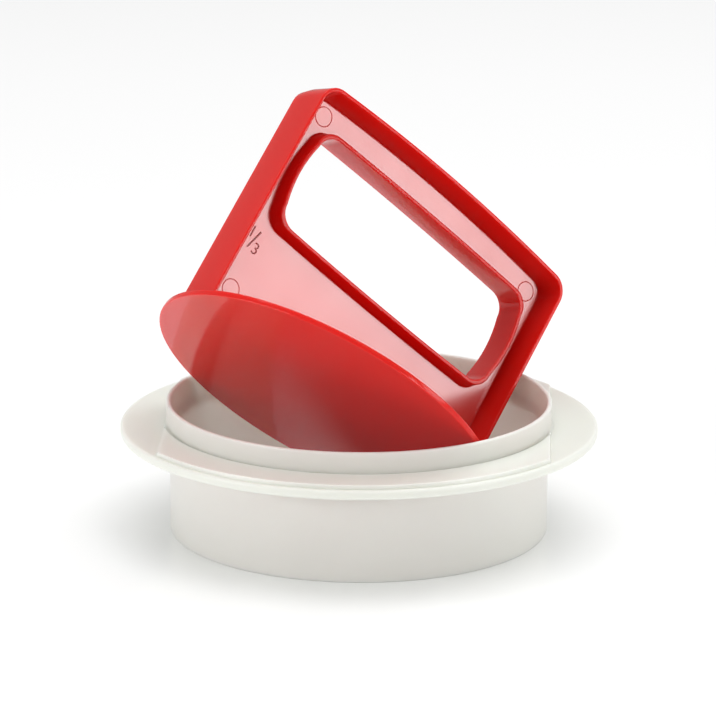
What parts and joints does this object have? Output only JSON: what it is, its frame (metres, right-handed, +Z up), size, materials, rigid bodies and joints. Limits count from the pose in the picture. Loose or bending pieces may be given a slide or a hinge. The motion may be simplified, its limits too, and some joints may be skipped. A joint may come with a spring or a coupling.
{
  "type": "patty press",
  "caption": "Open moulding ring with a wide brim, and a loose press with a round plate and a framed finger handle, tipped into the ring.",
  "frame": {"origin": "middle of the ring's bottom edge, on the surface that the ring stands on", "axes": "+Z up along the ring's axis, +X to the right of the side that the handle's open face turns to, -Y towards that side"},
  "size_m": [0.142, 0.142, 0.1315],
  "materials": {
    "ring": "glossy ivory moulding",
    "press": "high gloss red moulding"
  },
  "bodies": {
    "ring": {"ring_skirt": "ring", "ring_brim": "ring", "ring_collar": "ring"},
    "press": {"press_plate": "press", "handle_web": "press", "handle_frame": "press", "grip_rim": "press"}
  },
  "joints": [
    {"name": "press_lift", "type": "slide", "parent": "ring", "child": "press", "axis": [0, 0, 1], "range_m": [0, 0.06]}
  ]
}
